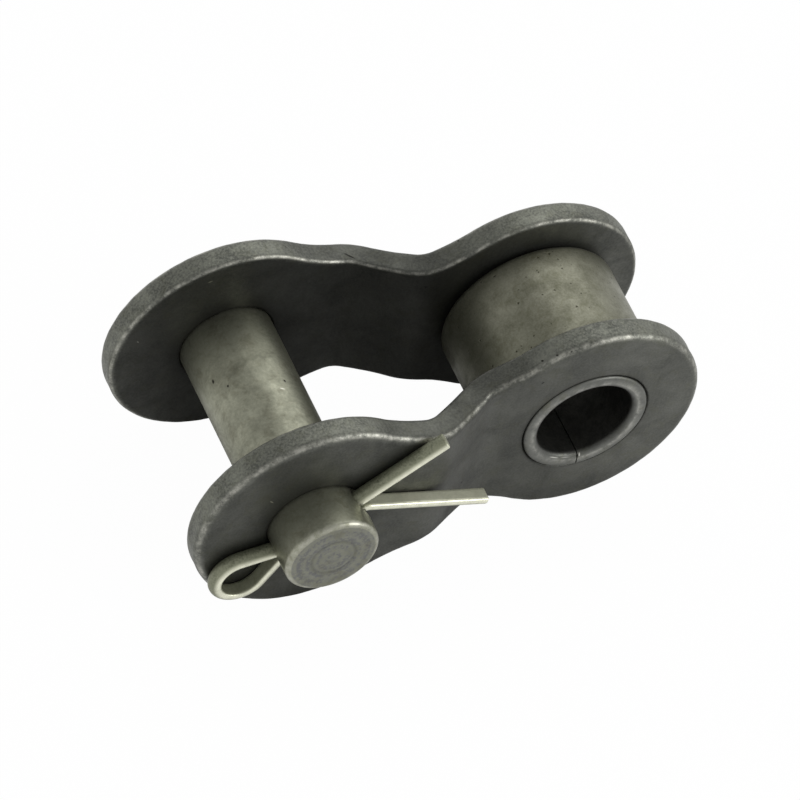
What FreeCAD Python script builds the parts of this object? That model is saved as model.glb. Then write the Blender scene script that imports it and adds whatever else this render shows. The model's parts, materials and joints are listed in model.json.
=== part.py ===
import FreeCAD, Part
import math
import os
from FreeCAD import Base

# Offset link of a half-inch roller chain, in millimetres.
# The origin is the centre of the bush, +X points from the pin end to the bush end,
# the pin and bush axes run along Y, and the plates stand upright along Z.
# The front plate, with the split pin, is on the -Y side.

# Chain sizes
PITCH = 12.7                 # bush axis to pin axis
INNER_WIDTH = 5.3            # between the plates at the bush end
PLATE_THICKNESS = 1.15
SIDE_PLAY = 0.44             # from the mating link's bush end to each wide plate
LOBE_RADIUS = 5.14           # rounded ends of the plates, half of the plate height
WAIST_HALF_HEIGHT = 3.35     # narrowest place of the outline
PLATE_EDGE_BREAK = 0.18      # tumbled edges of the cut rim
HOLE_EDGE_CHAMFER = 0.08

# Crank of the plates
CRANK_ANGLE = 31.0           # slope of the sheet between the two bends
CRANK_INNER_RADIUS = 1.4     # inside radius of each bend
CRANK_SHIFT = 0.27           # middle of the crank from half pitch, towards the bush

# Bush and roller
PIN_RADIUS = 2.03            # this pin, and the neighbouring link's pin in the bush
BUSH_RUNNING_CLEARANCE = 0.05
BUSH_WALL = 0.67             # thickness of the rolled strip
BUSH_PROUD = 0.08            # bush end beyond the plate's outer face
BUSH_EDGE_CHAMFER = 0.08
BUSH_MOUTH_CHAMFER = 0.18
SEAM_WIDTH = 0.06            # open butt seam of the rolled strip
ROLLER_RUNNING_CLEARANCE = 0.05
ROLLER_WALL = 1.05
ROLLER_SIDE_PLAY = 0.15
ROLLER_EDGE_ROUND = 0.3
ROLLER_BORE_CHAMFER = 0.12

# Connecting pin
PIN_PROJECTION = 1.98        # free end beyond the front plate
PIN_END_ROUND = 0.22
PIN_SLIP_CLEARANCE = 0.02    # in the front plate, which comes off
PIN_HEAD_RADIUS = 2.35       # upset rear end
PIN_HEAD_HEIGHT = 0.75
PIN_HEAD_CHAMFER = 0.3

# Split pin, bent from half-round wire
WIRE_WIDTH = 0.62            # flat side of the wire
WIRE_DEPTH = 0.48            # from the flat side to the crown
WIRE_GAP = 0.2               # between the two flats in the hole
WIRE_PLATE_CLEARANCE = 0.01  # from the front plate's outer face
CROSS_HOLE_CLEARANCE = 0.09  # round the two legs
SPLIT_PIN_TILT = 32.6        # cross hole above +X, seen from the front
EYE_RADIUS = 0.87            # inside of the eye's round end
EYE_REACH = 1.74             # from the pin's side to the centre of the round end
EYE_NECK_RADIUS = 0.6
EYE_NECK_INSIDE = 0.18       # bends start this deep in the hole
UPPER_LEG_ANGLE = 3.0        # bent away from the lower leg
UPPER_LEG_LENGTH = 4.18      # straight part
UPPER_LEG_BEND_RADIUS = 4.0
UPPER_LEG_BEND_INSIDE = 0.1
LOWER_LEG_ANGLE = 48.4       # bent away from the upper leg
LOWER_LEG_LENGTH = 5.62      # straight part
LOWER_LEG_BEND_RADIUS = 0.6
LOWER_LEG_BEND_INSIDE = 0.15

NARROW_INNER = INNER_WIDTH / 2
NARROW_OUTER = NARROW_INNER + PLATE_THICKNESS
WIDE_INNER = NARROW_OUTER + SIDE_PLAY
WIDE_OUTER = WIDE_INNER + PLATE_THICKNESS
BUSH_BORE_RADIUS = PIN_RADIUS + BUSH_RUNNING_CLEARANCE
BUSH_RADIUS = BUSH_BORE_RADIUS + BUSH_WALL
ROLLER_BORE_RADIUS = BUSH_RADIUS + ROLLER_RUNNING_CLEARANCE
ROLLER_RADIUS = ROLLER_BORE_RADIUS + ROLLER_WALL
PIN_X = -PITCH
WIRE_RADIUS = (WIRE_DEPTH ** 2 + WIRE_WIDTH ** 2 / 4) / (2 * WIRE_DEPTH)
WIRE_Y = -(WIDE_OUTER + WIRE_PLATE_CLEARANCE + WIRE_RADIUS)
BLANK_MARGIN = 1.0
COINCIDENT = 1e-3

Y_AXIS = Base.Vector(0, 1, 0)


def cylinder_along_y(radius, y_low, y_high, x=0.0):
    """Cylinder parallel to Y between two heights of Y."""
    return Part.makeCylinder(radius, y_high - y_low, Base.Vector(x, y_low, 0), Y_AXIS)


def chamfer_ring(radius, size, y_face, y_inside, x=0.0):
    """Cone that breaks the edge of a hole at y_face, growing away from y_inside."""
    away = 1 if y_face > y_inside else -1
    start = Base.Vector(x, y_face - away * size, 0)
    return Part.makeCone(radius, radius + 2 * size, 2 * size, start, Base.Vector(0, away, 0))


def plate_outline():
    """Face in XZ: two round ends joined by tangent waist arcs."""
    waist_radius = (PITCH ** 2 / 4 + WAIST_HALF_HEIGHT ** 2 - LOBE_RADIUS ** 2) / (
        2 * (LOBE_RADIUS - WAIST_HALF_HEIGHT))
    middle_x = -PITCH / 2
    centre_z = WAIST_HALF_HEIGHT + waist_radius
    reach = LOBE_RADIUS / (LOBE_RADIUS + waist_radius)
    touch_x = PITCH / 2 * reach
    touch_z = centre_z * reach
    bush_top = Base.Vector(-touch_x, 0, touch_z)
    bush_low = Base.Vector(-touch_x, 0, -touch_z)
    pin_top = Base.Vector(PIN_X + touch_x, 0, touch_z)
    pin_low = Base.Vector(PIN_X + touch_x, 0, -touch_z)
    edges = [
        Part.Arc(bush_low, Base.Vector(LOBE_RADIUS, 0, 0), bush_top),
        Part.Arc(bush_top, Base.Vector(middle_x, 0, WAIST_HALF_HEIGHT), pin_top),
        Part.Arc(pin_top, Base.Vector(PIN_X - LOBE_RADIUS, 0, 0), pin_low),
        Part.Arc(pin_low, Base.Vector(middle_x, 0, -WAIST_HALF_HEIGHT), bush_low),
    ]
    return Part.Face(Part.Wire([edge.toShape() for edge in edges]))


def crank_profile():
    """Face in XY: the sheet's section, from the wide end to the narrow end, on the +Y side."""
    angle = math.radians(CRANK_ANGLE)
    inner_r = CRANK_INNER_RADIUS
    outer_r = CRANK_INNER_RADIUS + PLATE_THICKNESS
    mid_r = CRANK_INNER_RADIUS + PLATE_THICKNESS / 2
    drop = WIDE_INNER - NARROW_INNER
    slope_run = (drop - 2 * mid_r * (1 - math.cos(angle))) / math.tan(angle)
    crank_run = slope_run + 2 * mid_r * math.sin(angle)
    crank_middle = -PITCH / 2 + CRANK_SHIFT
    first_x = crank_middle - crank_run / 2
    second_x = crank_middle + crank_run / 2
    first_centre = Base.Vector(first_x, WIDE_INNER - inner_r, 0)
    second_centre = Base.Vector(second_x, NARROW_OUTER + inner_r, 0)

    def on_first(radius, turn):
        return first_centre + Base.Vector(radius * math.sin(turn), radius * math.cos(turn), 0)

    def on_second(radius, turn):
        return second_centre - Base.Vector(radius * math.sin(turn), radius * math.cos(turn), 0)

    x_low = PIN_X - LOBE_RADIUS - BLANK_MARGIN
    x_high = LOBE_RADIUS + BLANK_MARGIN
    outer = [
        Part.LineSegment(Base.Vector(x_low, WIDE_OUTER, 0), on_first(outer_r, 0)),
        Part.Arc(on_first(outer_r, 0), on_first(outer_r, angle / 2), on_first(outer_r, angle)),
        Part.LineSegment(on_first(outer_r, angle), on_second(inner_r, angle)),
        Part.Arc(on_second(inner_r, angle), on_second(inner_r, angle / 2), on_second(inner_r, 0)),
        Part.LineSegment(on_second(inner_r, 0), Base.Vector(x_high, NARROW_OUTER, 0)),
    ]
    end = Part.LineSegment(Base.Vector(x_high, NARROW_OUTER, 0), Base.Vector(x_high, NARROW_INNER, 0))
    inner = [
        Part.LineSegment(Base.Vector(x_high, NARROW_INNER, 0), on_second(outer_r, 0)),
        Part.Arc(on_second(outer_r, 0), on_second(outer_r, angle / 2), on_second(outer_r, angle)),
        Part.LineSegment(on_second(outer_r, angle), on_first(inner_r, angle)),
        Part.Arc(on_first(inner_r, angle), on_first(inner_r, angle / 2), on_first(inner_r, 0)),
        Part.LineSegment(on_first(inner_r, 0), Base.Vector(x_low, WIDE_INNER, 0)),
    ]
    start = Part.LineSegment(Base.Vector(x_low, WIDE_INNER, 0), Base.Vector(x_low, WIDE_OUTER, 0))
    return Part.Face(Part.Wire([edge.toShape() for edge in outer + [end] + inner + [start]]))


def cranked_blank():
    """Plate without holes on the +Y side, its rim edges broken."""
    height = LOBE_RADIUS + BLANK_MARGIN
    profile = crank_profile()
    profile.translate(Base.Vector(0, 0, -height))
    strip = profile.extrude(Base.Vector(0, 0, 2 * height))
    outline = plate_outline().extrude(Base.Vector(0, WIDE_OUTER + BLANK_MARGIN, 0))
    blank = strip.common(outline).Solids[0]
    rim_edges = [edge for edge in blank.Edges if is_rim_edge(edge)]
    return blank.makeChamfer(PLATE_EDGE_BREAK, rim_edges)


def is_rim_edge(edge):
    """True for an edge between a face of the sheet and the cut rim."""
    first = edge.valueAt(edge.FirstParameter)
    last = edge.valueAt(edge.LastParameter)
    middle = edge.valueAt((edge.FirstParameter + edge.LastParameter) / 2)
    across_sheet = math.hypot(first.x - last.x, first.z - last.z) < COINCIDENT
    over_face = abs(first.z + last.z) < COINCIDENT and abs(middle.z) < COINCIDENT
    return not across_sheet and not over_face


def side_plate(pin_hole_radius):
    """Cranked plate on the +Y side with its bush hole and pin hole."""
    plate = cranked_blank()
    past = BLANK_MARGIN
    cuts = [
        cylinder_along_y(BUSH_RADIUS, NARROW_INNER - past, NARROW_OUTER + past),
        chamfer_ring(BUSH_RADIUS, HOLE_EDGE_CHAMFER, NARROW_OUTER, NARROW_INNER),
        cylinder_along_y(pin_hole_radius, WIDE_INNER - past, WIDE_OUTER + past, PIN_X),
        chamfer_ring(pin_hole_radius, HOLE_EDGE_CHAMFER, WIDE_OUTER, WIDE_INNER, PIN_X),
    ]
    for cut in cuts:
        plate = plate.cut(cut)
    return plate.Solids[0]


def front_side_plate():
    """Plate on the -Y side, which slips off the pin once the split pin is out."""
    plate = side_plate(PIN_RADIUS + PIN_SLIP_CLEARANCE)
    return plate.mirror(Base.Vector(0, 0, 0), Y_AXIS)


def rear_side_plate():
    """Plate on the +Y side, in which the pin is a drive fit."""
    return side_plate(PIN_RADIUS)


def bush():
    """Strip rolled into a tube, with its butt seam open along the lower side."""
    half = NARROW_OUTER + BUSH_PROUD
    sleeve = cylinder_along_y(BUSH_RADIUS, -half, half)
    sleeve = sleeve.makeChamfer(BUSH_EDGE_CHAMFER, [edge for edge in sleeve.Edges if edge.Closed])
    cuts = [
        cylinder_along_y(BUSH_BORE_RADIUS, -half - BLANK_MARGIN, half + BLANK_MARGIN),
        chamfer_ring(BUSH_BORE_RADIUS, BUSH_MOUTH_CHAMFER, half, 0),
        chamfer_ring(BUSH_BORE_RADIUS, BUSH_MOUTH_CHAMFER, -half, 0),
        Part.makeBox(SEAM_WIDTH, 2 * half + 2 * BLANK_MARGIN, BUSH_RADIUS + BLANK_MARGIN,
                     Base.Vector(-SEAM_WIDTH / 2, -half - BLANK_MARGIN, -BUSH_RADIUS - BLANK_MARGIN)),
    ]
    for cut in cuts:
        sleeve = sleeve.cut(cut)
    return sleeve.Solids[0]


def roller():
    """Sleeve that turns on the bush between the plates, with rounded rims."""
    half = NARROW_INNER - ROLLER_SIDE_PLAY
    body = cylinder_along_y(ROLLER_RADIUS, -half, half)
    body = body.makeFillet(ROLLER_EDGE_ROUND, [edge for edge in body.Edges if edge.Closed])
    cuts = [
        cylinder_along_y(ROLLER_BORE_RADIUS, -half - BLANK_MARGIN, half + BLANK_MARGIN),
        chamfer_ring(ROLLER_BORE_RADIUS, ROLLER_BORE_CHAMFER, half, 0),
        chamfer_ring(ROLLER_BORE_RADIUS, ROLLER_BORE_CHAMFER, -half, 0),
    ]
    for cut in cuts:
        body = body.cut(cut)
    return body.Solids[0]


def split_frame():
    """Unit vectors of the split pin's plane: along the legs, and from the lower to the upper leg."""
    tilt = math.radians(SPLIT_PIN_TILT)
    along = Base.Vector(math.cos(tilt), 0, math.sin(tilt))
    across = Base.Vector(-math.sin(tilt), 0, math.cos(tilt))
    return along, across


def connecting_pin():
    """Turned pin with an upset rear end and a cross hole near its free end."""
    free_end = -(WIDE_OUTER + PIN_PROJECTION)
    shank = cylinder_along_y(PIN_RADIUS, free_end, WIDE_OUTER, PIN_X)
    front_edges = [edge for edge in shank.Edges if edge.Closed and edge.CenterOfMass.y < 0]
    shank = shank.makeFillet(PIN_END_ROUND, front_edges)
    head = cylinder_along_y(PIN_HEAD_RADIUS, WIDE_OUTER, WIDE_OUTER + PIN_HEAD_HEIGHT, PIN_X)
    rear_edges = [edge for edge in head.Edges
                  if edge.Closed and edge.CenterOfMass.y > WIDE_OUTER + PIN_HEAD_HEIGHT / 2]
    head = head.makeChamfer(PIN_HEAD_CHAMFER, rear_edges)
    along, across = split_frame()
    centre = Base.Vector(PIN_X, WIRE_Y, 0)
    reach = PIN_RADIUS + BLANK_MARGIN
    hole_radius = WIRE_GAP / 2 + WIRE_DEPTH + CROSS_HOLE_CLEARANCE
    cross_hole = Part.makeCylinder(hole_radius, 2 * reach, centre - along * reach, along)
    return shank.fuse(head).removeSplitter().cut(cross_hole).Solids[0]


def split_pin_path():
    """Wire's flat side from the upper tip, through the pin, round the eye and back to the lower tip."""
    along, across = split_frame()
    centre = Base.Vector(PIN_X, WIRE_Y, 0)
    half_gap = WIRE_GAP / 2
    quarter = math.pi / 2

    def place(u, v):
        return centre + along * u + across * v

    def line(start, stop):
        return Part.LineSegment(place(*start), place(*stop))

    def arc(mid, radius, start, stop):
        points = [on_circle(mid, radius, turn) for turn in (start, (start + stop) / 2, stop)]
        return Part.Arc(*[place(*point) for point in points])

    # The neck bends outwards, and a straight side then meets the eye's round end
    neck_mid = (EYE_NECK_INSIDE - PIN_RADIUS, half_gap + EYE_NECK_RADIUS)
    eye_mid = (-PIN_RADIUS - EYE_REACH, 0)
    both_radii = EYE_NECK_RADIUS + EYE_RADIUS
    gap_u = neck_mid[0] - eye_mid[0]
    opening = math.asin(both_radii / math.hypot(gap_u, neck_mid[1])) - math.atan2(neck_mid[1], gap_u)
    neck_end = on_circle(neck_mid, EYE_NECK_RADIUS, -quarter - opening)
    eye_start = on_circle(eye_mid, EYE_RADIUS, quarter - opening)

    # Each leg leaves the hole in one bend
    upper_mid, upper_start, upper_tip = upper_leg()
    lower_bend = math.radians(LOWER_LEG_ANGLE)
    lower_mid, lower_start, lower_tip = leg(
        -1, lower_bend, LOWER_LEG_BEND_RADIUS, LOWER_LEG_BEND_INSIDE, LOWER_LEG_LENGTH)
    upper_bend = math.radians(UPPER_LEG_ANGLE)
    pieces = [
        line(upper_tip, upper_start),
        arc(upper_mid, UPPER_LEG_BEND_RADIUS, upper_bend - quarter, -quarter),
        line((upper_mid[0], half_gap), (neck_mid[0], half_gap)),
        arc(neck_mid, EYE_NECK_RADIUS, -quarter, -quarter - opening),
        line(neck_end, eye_start),
        arc(eye_mid, EYE_RADIUS, quarter - opening, 3 * quarter + opening),
        line((eye_start[0], -eye_start[1]), (neck_end[0], -neck_end[1])),
        arc((neck_mid[0], -neck_mid[1]), EYE_NECK_RADIUS, quarter + opening, quarter),
        line((neck_mid[0], -half_gap), (lower_mid[0], -half_gap)),
        arc(lower_mid, LOWER_LEG_BEND_RADIUS, quarter, quarter - lower_bend),
        line(lower_start, lower_tip),
    ]
    return Part.Wire([piece.toShape() for piece in pieces])


def on_circle(mid, radius, turn):
    """Point of a circle in the split pin's plane, at an angle in radians."""
    return mid[0] + radius * math.cos(turn), mid[1] + radius * math.sin(turn)


def leg(side, bend, bend_radius, bend_inside, length):
    """Centre of a leg's bend, start and tip of its straight part, for side 1 or -1 of the middle."""
    mid = (PIN_RADIUS - bend_inside, side * (WIRE_GAP / 2 + bend_radius))
    start = on_circle(mid, bend_radius, side * (bend - math.pi / 2))
    tip = (start[0] + length * math.cos(bend), start[1] + side * length * math.sin(bend))
    return mid, start, tip


def upper_leg():
    """Centre of the upper leg's bend, start and tip of its straight part."""
    return leg(1, math.radians(UPPER_LEG_ANGLE), UPPER_LEG_BEND_RADIUS, UPPER_LEG_BEND_INSIDE,
               UPPER_LEG_LENGTH)


def split_pin():
    """Half-round wire swept along the path with its flat side inwards."""
    along, across = split_frame()
    bend = math.radians(UPPER_LEG_ANGLE)
    outward = across * math.cos(bend) - along * math.sin(bend)
    tip_u, tip_v = upper_leg()[2]
    tip = Base.Vector(PIN_X, WIRE_Y, 0) + along * tip_u + across * tip_v
    low = tip - Y_AXIS * (WIRE_WIDTH / 2)
    high = tip + Y_AXIS * (WIRE_WIDTH / 2)
    section = Part.Wire([
        Part.LineSegment(low, high).toShape(),
        Part.Arc(high, tip + outward * WIRE_DEPTH, low).toShape(),
    ])
    sweep = Part.BRepOffsetAPI.MakePipeShell(split_pin_path())
    sweep.setBiNormalMode(Y_AXIS)
    sweep.add(section)
    sweep.build()
    sweep.makeSolid()
    return sweep.shape()


NODES = {
    "front_side_plate": front_side_plate,
    "rear_side_plate": rear_side_plate,
    "bush": bush,
    "roller": roller,
    "connecting_pin": connecting_pin,
    "split_pin": split_pin,
}


def main():
    os.makedirs("parts", exist_ok=True)
    for name, build in NODES.items():
        shape = build()
        shape.exportStep("parts/" + name + ".step")
        print(name, "solids", len(shape.Solids), "valid", shape.isValid(), "volume", round(shape.Volume, 3))


main()
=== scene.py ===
import json
import logging
import math
from dataclasses import dataclass, field
from enum import Enum
from functools import cached_property

import bmesh
import bpy
import numpy as np
from mathutils import Matrix, Vector


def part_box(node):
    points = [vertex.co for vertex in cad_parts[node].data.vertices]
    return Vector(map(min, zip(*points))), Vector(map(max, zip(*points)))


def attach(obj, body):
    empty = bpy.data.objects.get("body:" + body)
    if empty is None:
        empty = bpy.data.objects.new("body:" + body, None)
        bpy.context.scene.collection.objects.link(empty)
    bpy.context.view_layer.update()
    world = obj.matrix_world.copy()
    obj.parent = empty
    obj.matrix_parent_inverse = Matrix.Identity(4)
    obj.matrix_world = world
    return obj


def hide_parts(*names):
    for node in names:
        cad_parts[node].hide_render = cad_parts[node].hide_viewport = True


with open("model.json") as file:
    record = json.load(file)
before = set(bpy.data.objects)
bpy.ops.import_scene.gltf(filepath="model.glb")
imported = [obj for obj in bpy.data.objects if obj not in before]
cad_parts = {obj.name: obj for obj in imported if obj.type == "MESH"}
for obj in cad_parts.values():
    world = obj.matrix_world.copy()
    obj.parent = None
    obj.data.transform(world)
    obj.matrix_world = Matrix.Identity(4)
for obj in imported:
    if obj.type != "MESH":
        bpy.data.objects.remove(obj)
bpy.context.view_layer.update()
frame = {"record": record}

# Offset link of a half-inch roller chain. Sizes are in millimetres until a mesh is made,
# and +X runs from the pin end to the bush end, +Y from the front plate to the rear one.
MM = 0.001
WELD = 2e-8  # how far apart the points of a shared seam may lie, in metres
QUARTER = math.pi / 2
SHARP_ANGLE = 35.0  # edges that turn by more degrees stay sharp
RUB_DEPTH = 0.42  # how far from a sharp corner the middle of its round lies, in radii
LOG = logging.getLogger("offset_link")
Pair = tuple[float, float]
Point = tuple[float, float, float]
Array = np.ndarray
Object = bpy.types.Object
Socket = bpy.types.NodeSocket


class Side(Enum):
    """Which of the two side plates, by the sign of its Y."""

    FRONT = -1
    REAR = 1


class Mark(Enum):
    """Point attributes that tell a finish where the metal is worn, sheared or dirty, and where
    highlights and shade are painted on it.
    """

    WEAR = "wear"
    RIM = "rim"
    GRIME = "grime"


@dataclass(frozen=True)
class LinkSizes:
    """Sizes that several pieces share, in millimetres. Those without a default are read
    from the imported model's boxes and mounts, so the looks follow the model.
    """

    pitch: float
    lobe_radius: float
    narrow_inner: float
    wide_outer: float
    pin_free_end: float
    pin_head_end: float
    bush_half_length: float
    roller_half_length: float
    roller_radius: float
    bush_bore_radius: float
    pin_radius: float
    plate_thickness: float = 1.15
    bush_wall: float = 0.67
    waist_half_height: float = 3.35
    crank_angle: float = math.radians(31.0)
    crank_inner_radius: float = 1.4
    crank_shift: float = 0.27

    @classmethod
    def from_frame(cls) -> "LinkSizes":
        """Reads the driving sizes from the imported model.

        Returns:
            The sizes of the link.
        """
        plate_low, plate_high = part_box("rear_side_plate")
        pin_low, pin_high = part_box("connecting_pin")
        roller_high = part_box("roller")[1]
        mounts = {mount["name"]: mount for mount in frame["record"]["mounts"]}
        return cls(
            pitch=-mounts["pin_journal"]["pos_m"][0] / MM,
            lobe_radius=plate_high.z / MM,
            narrow_inner=plate_low.y / MM,
            wide_outer=plate_high.y / MM,
            pin_free_end=pin_low.y / MM,
            pin_head_end=pin_high.y / MM,
            bush_half_length=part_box("bush")[1].y / MM,
            roller_half_length=roller_high.y / MM,
            roller_radius=roller_high.z / MM,
            bush_bore_radius=mounts["bush_bore"]["dims"]["r_mm"],
            pin_radius=mounts["pin_journal"]["dims"]["r_mm"],
        )

    @property
    def wide_inner(self) -> float:
        """Inner face of the plates at the pin end."""
        return self.wide_outer - self.plate_thickness

    @property
    def middle_x(self) -> float:
        """Place halfway between the two axes."""
        return -self.pitch / 2

    @property
    def bush_radius(self) -> float:
        """Outside of the bush."""
        return self.bush_bore_radius + self.bush_wall

    @property
    def split_pin(self) -> "SplitPinForm":
        """Form of the split pin that fits this pin and plate."""
        return SplitPinForm(-self.pitch, self.pin_radius, self.wide_outer)


@dataclass
class Surface:
    """A mesh put together from grids of points, whose shared seams are merged at the end."""

    name: str
    points: list[Array] = field(default_factory=list)
    quads: list[Array] = field(default_factory=list)
    caps: list[Array] = field(default_factory=list)
    marks: dict[Mark, list[Array]] = field(default_factory=lambda: {m: [] for m in Mark})

    def add_grid(self, points: Array, closed_rows: bool = False,
                 closed_columns: bool = True, **marks: Array | float) -> Array:
        """Adds a grid of points and the quad between (i, j) and (i + 1, j + 1) for each.

        Args:
            points: Rows by columns by three coordinates, in millimetres.
            closed_rows: Whether the last row joins the first.
            closed_columns: Whether the last column joins the first.
            **marks: Values by the attribute's name, which spread over the grid.

        Returns:
            The grid's vertex numbers.
        """
        shape = points.shape[:2]
        index = sum(map(len, self.points)) + np.arange(shape[0] * shape[1]).reshape(shape)
        ring = np.vstack([index, index[:1]]) if closed_rows else index
        ring = np.hstack([ring, ring[:, :1]]) if closed_columns else ring
        quads = np.stack([ring[:-1, :-1], ring[1:, :-1], ring[1:, 1:], ring[:-1, 1:]], axis=-1)
        self.quads.append(quads.reshape(-1, 4))
        self.points.append(points.reshape(-1, 3))
        for mark, values in self.marks.items():
            values.append(np.broadcast_to(marks.get(mark.value, 0.0), shape).ravel())
        return index

    def build(self, sharp_angle: float = SHARP_ANGLE) -> Object:
        """Makes the object: seams merged, faces outward, smooth but for sharp edges.

        Args:
            sharp_angle: Angle in degrees from which an edge is sharp.

        Returns:
            The new object, at the origin.
        """
        mesh = bpy.data.meshes.new(self.name)
        points, quads = np.concatenate(self.points) * MM, np.concatenate(self.quads)
        mesh.from_pydata(points.tolist(), [], quads.tolist() + [c.tolist() for c in self.caps])
        for mark, values in self.marks.items():
            layer = mesh.attributes.new(mark.value, "FLOAT", "POINT")
            layer.data.foreach_set("value", np.concatenate(values).astype(np.float32))
        work = bmesh.new()
        work.from_mesh(mesh)
        bmesh.ops.remove_doubles(work, verts=work.verts, dist=WELD)
        bmesh.ops.dissolve_degenerate(work, edges=work.edges, dist=WELD / 2)
        bmesh.ops.recalc_face_normals(work, faces=work.faces)
        work.to_mesh(mesh)
        work.free()
        mesh.shade_smooth()
        mesh.set_sharp_from_angle(angle=math.radians(sharp_angle))
        piece = bpy.data.objects.new(self.name, mesh)
        bpy.context.scene.collection.objects.link(piece)
        return piece


def ripple(place: Array, seed: int, size: float, octaves: int = 3) -> Array:
    """Smooth unevenness, the sum of waves sin(k . place + phase) of random direction.

    Args:
        place: Points with their coordinates along the last axis.
        seed: Number that fixes the random directions and phases.
        size: Length of the longest waves, in the units of the points.
        octaves: Sets of five waves, each half as long and as high as the last.

    Returns:
        One value a point, between about -1 and 1.
    """
    random = np.random.default_rng(seed)
    total = np.zeros(place.shape[:-1])
    for octave in range(octaves):
        waves = random.normal(size=(5, place.shape[-1]))
        waves *= 2 * math.pi * 2 ** octave / size / np.linalg.norm(waves, axis=1, keepdims=True)
        phases = random.uniform(0, 2 * math.pi, 5)
        total += np.sin(place @ waves.T + phases).sum(axis=-1) / 2 ** octave / 4
    return total


def bell(along: Array, centre: float, width: float) -> Array:
    """Bell curve of height 1: exp(-((along - centre) / width) squared)."""
    return np.exp(-((along - centre) / width) ** 2)


def circle(turn: Array | float) -> Array:
    """Points (cos t, sin t) of the unit circle."""
    return np.stack([np.cos(turn), np.sin(turn)], axis=-1)


def quarter_round(radius: float, steps: int) -> tuple[Array, Array]:
    """Rounded edge from face to wall: inset radius * (1 - cos t), depth radius * (1 - sin t)."""
    turn = np.linspace(QUARTER, 0, steps + 1)
    return radius * (1 - np.cos(turn)), radius * (1 - np.sin(turn))


def tube_section(bore: float, outside: float, end: float, rounds: Pair,
                 steps: int) -> Array:
    """Section of a tube's wall: corner k is centre + round * (cos t, sin t).

    Args:
        bore: Radius of the bore, where the first and last corners are.
        outside: Radius of the outside, where the others are.
        end: Half the tube's length.
        rounds: Radii of the rounds at the bore and at the outside.
        steps: Segments in each round, as t goes from 2 + k to 3 + k right angles.

    Returns:
        Points (r, y) in order, without the first one repeated.
    """
    at_bore, at_outside = rounds
    radii = np.array([at_bore, at_outside, at_outside, at_bore])[:, None]
    centre_r = np.where(radii == at_bore, bore + at_bore, outside - at_outside)
    centre_y = np.array([-1, -1, 1, 1])[:, None] * (end - radii)
    turn = QUARTER * (np.arange(2, 6)[:, None] + np.linspace(0, 1, steps + 1))
    centre = np.stack([centre_r, centre_y], axis=-1)
    return (centre + radii[..., None] * circle(turn)).reshape(-1, 2)


def turned(profile: Array, turns: Array, centre_x: float = 0.0) -> Array:
    """Turns a profile about an axis along Y: (r, y) becomes (x + r cos t, y, r sin t)."""
    x, z = centre_x + profile[:, :1] * np.cos(turns), profile[:, :1] * np.sin(turns)
    return np.stack([x, np.broadcast_to(profile[:, 1:], x.shape), z], axis=-1)


def linear(code: str) -> tuple[float, ...]:
    """Blender's linear red, green, blue and alpha for an sRGB hex value."""
    parts = [int(code[i:i + 2], 16) / 255 for i in (1, 3, 5)]
    return *(p / 12.92 if p <= 0.04045 else ((p + 0.055) / 1.055) ** 2.4 for p in parts), 1.0


class Nodes:
    """The node tree of a material or a world, with short ways to fill it."""

    def __init__(self, owner: bpy.types.Material | bpy.types.World) -> None:
        """Empties the tree.

        Args:
            owner: The material or world that has it.
        """
        owner.use_nodes = True
        self.tree = owner.node_tree
        self.tree.nodes.clear()

    def add(self, kind: str, inputs: dict, **settings: object) -> bpy.types.Node:
        """Adds a node with its settings, values and links.

        Args:
            kind: Blender's name for the node's type, after the word ShaderNode.
            inputs: Values or output sockets by the name or number of the input.
            **settings: Properties of the node.

        Returns:
            The new node.
        """
        node = self.tree.nodes.new("ShaderNode" + kind)
        for name, value in settings.items():
            setattr(node, name, value)
        for key, value in inputs.items():
            if isinstance(value, Socket):
                self.tree.links.new(value, node.inputs[key])
            else:
                node.inputs[key].default_value = value
        return node

    @cached_property
    def place(self) -> Socket:
        """Place on the link, in metres."""
        return self.add("TexCoord", {}).outputs["Object"]

    def mark(self, mark: Mark) -> Socket:
        """One of the mesh's own marks."""
        return self.add("Attribute", {}, attribute_name=mark.value).outputs["Fac"]

    def noise(self, size: float, detail: float, rough: float = 0.5, bent: float = 0.0) -> Socket:
        """Adds noise from 0 to 1.

        Args:
            size: About how large its lumps are, in millimetres.
            detail: How many finer layers it has.
            rough: How strong the finer layers are.
            bent: How far the lumps are twisted.

        Returns:
            The noise's value.
        """
        return self.add("TexNoise", {
            "Vector": self.place, "Scale": 1 / (size * MM), "Detail": detail,
            "Roughness": rough, "Distortion": bent}).outputs["Fac"]

    def combine(self, operation: str, *values: object) -> Socket:
        """Joins values by one of Blender's sums."""
        return self.add("Math", dict(enumerate(values)), operation=operation).outputs[0]

    def mix(self, share: object, base: object, top: object) -> Socket:
        """Goes from the base value to the top value as the share goes from 0 to 1."""
        return self.add("Mix", {0: share, 2: base, 3: top}).outputs[0]

    def level(self, value: Socket, low: object, high: object, start: float = 0.0,
              stop: float = 1.0, smooth: bool = False) -> Socket:
        """Stretches a value over a new range, and clips it there.

        Args:
            value: The value to stretch.
            low: The value that gives start.
            high: The value that gives stop.
            start: The result's first end.
            stop: The result's other end.
            smooth: Whether it eases in and out of its ends.

        Returns:
            The stretched value.
        """
        return self.add("MapRange", {
            "Value": value, "From Min": low, "From Max": high, "To Min": start, "To Max": stop,
        }, interpolation_type="SMOOTHSTEP" if smooth else "LINEAR").outputs["Result"]


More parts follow.
